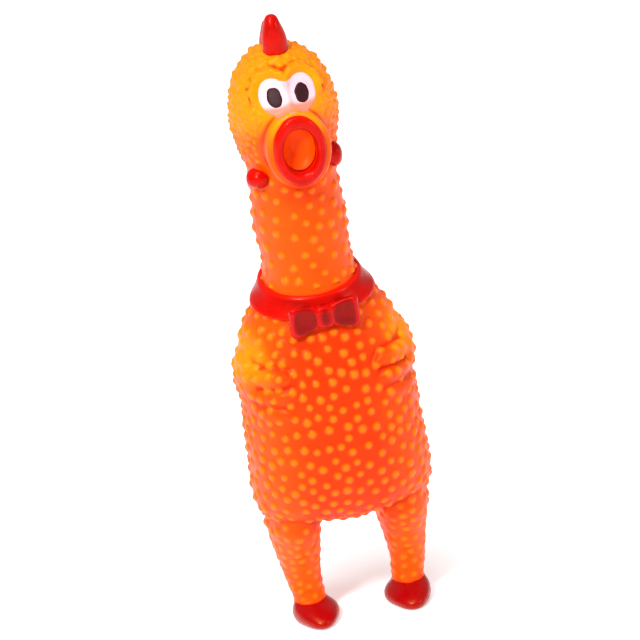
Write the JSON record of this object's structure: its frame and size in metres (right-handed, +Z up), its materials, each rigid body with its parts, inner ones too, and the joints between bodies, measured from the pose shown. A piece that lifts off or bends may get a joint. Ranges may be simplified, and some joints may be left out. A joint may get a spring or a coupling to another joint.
{
  "type": "rubber chicken",
  "caption": "Squeezable hollow rubber chicken with an open beak, comb, wattles, bow tie and a reed squawker in its throat",
  "frame": {"origin": "on the floor under the middle of the whole part, where it stands on its soles", "axes": "+Z up through the comb, the beak faces -Y, +X is to the right of someone who looks at its face"},
  "size_m": [0.089, 0.0752, 0.3075],
  "materials": {
    "orange_skin": "soft satin vinyl, airbrushed red-orange over orange",
    "red_paint": "glossy red paint on soft vinyl",
    "bow_paint": "glossy dark red paint on soft vinyl",
    "eye_paint": "satin pinkish white paint",
    "pupil_paint": "glossy near-black paint",
    "squawker_plastic": "moulded natural plastic",
    "reed_film": "thin clear film"
  },
  "bodies": {
    "torso": {"torso_skin": "orange_skin", "tail_stump": "orange_skin", "collar_band": "red_paint", "bow_knot": "bow_paint", "left_bow_loop": "bow_paint", "right_bow_loop": "bow_paint", "left_wing": "orange_skin", "right_wing": "orange_skin", "neck_base_fold": "orange_skin", "left_hip_fold": "orange_skin", "right_hip_fold": "orange_skin"},
    "belly": {"belly_panel": "orange_skin"},
    "neck_lower": {"neck_lower_ring": "orange_skin", "neck_middle_fold": "orange_skin"},
    "neck_upper": {"neck_upper_ring": "orange_skin", "nape_fold": "orange_skin"},
    "head": {"head_skin": "orange_skin", "beak": "orange_skin", "lip_ring": "red_paint", "mouth_cup": "orange_skin", "brow_ridge": "orange_skin", "eye_patch": "eye_paint", "left_pupil": "pupil_paint", "right_pupil": "pupil_paint", "comb_root": "red_paint", "left_wattle": "red_paint", "right_wattle": "red_paint", "squawker_barrel": "squawker_plastic", "squawker_cap": "squawker_plastic", "reed_plate": "squawker_plastic", "reed_wedge": "squawker_plastic"},
    "comb": {"comb": "red_paint"},
    "reed": {"reed_tongue": "reed_film"},
    "left_leg": {"left_leg": "orange_skin", "left_foot": "red_paint"},
    "right_leg": {"right_leg": "orange_skin", "right_foot": "red_paint"}
  },
  "joints": [
    {"name": "belly_press", "type": "slide", "parent": "torso", "child": "belly", "axis": [0, 1, 0], "range_m": [0, 0.005], "stiffness_N_per_m": 400},
    {"name": "neck_bend", "type": "hinge", "parent": "torso", "child": "neck_lower", "pos_m": [0, 0, 0.182], "axis": [1, 0, 0], "range_deg": [-20, 20], "stiffness_Nm_per_rad": 1.2, "deforming": ["neck_base_fold"]},
    {"name": "neck_sway", "type": "hinge", "parent": "neck_lower", "child": "neck_upper", "pos_m": [0, 0, 0.198], "axis": [0, 1, 0], "range_deg": [-20, 20], "stiffness_Nm_per_rad": 1, "deforming": ["neck_middle_fold"]},
    {"name": "head_nod", "type": "hinge", "parent": "neck_upper", "child": "head", "pos_m": [0, 0, 0.214], "axis": [1, 0, 0], "range_deg": [-20, 20], "stiffness_Nm_per_rad": 0.8, "deforming": ["nape_fold"]},
    {"name": "comb_flex", "type": "hinge", "parent": "head", "child": "comb", "pos_m": [0, 0, 0.2915], "axis": [0, 1, 0], "range_deg": [-20, 20], "stiffness_Nm_per_rad": 0.05, "deforming": ["comb_root"]},
    {"name": "reed_flutter", "type": "hinge", "parent": "head", "child": "reed", "pos_m": [0, -0.0003, 0.226], "axis": [-1, 0, 0], "range_deg": [0, 3], "stiffness_Nm_per_rad": 0.002},
    {"name": "left_hip_swing", "type": "hinge", "parent": "torso", "child": "left_leg", "pos_m": [-0.0262, 0, 0.048], "axis": [1, 0, 0], "range_deg": [-25, 25], "stiffness_Nm_per_rad": 2.5, "deforming": ["left_hip_fold"]},
    {"name": "right_hip_swing", "type": "hinge", "parent": "torso", "child": "right_leg", "pos_m": [0.0262, 0, 0.048], "axis": [1, 0, 0], "range_deg": [-25, 25], "stiffness_Nm_per_rad": 2.5, "deforming": ["right_hip_fold"]}
  ]
}
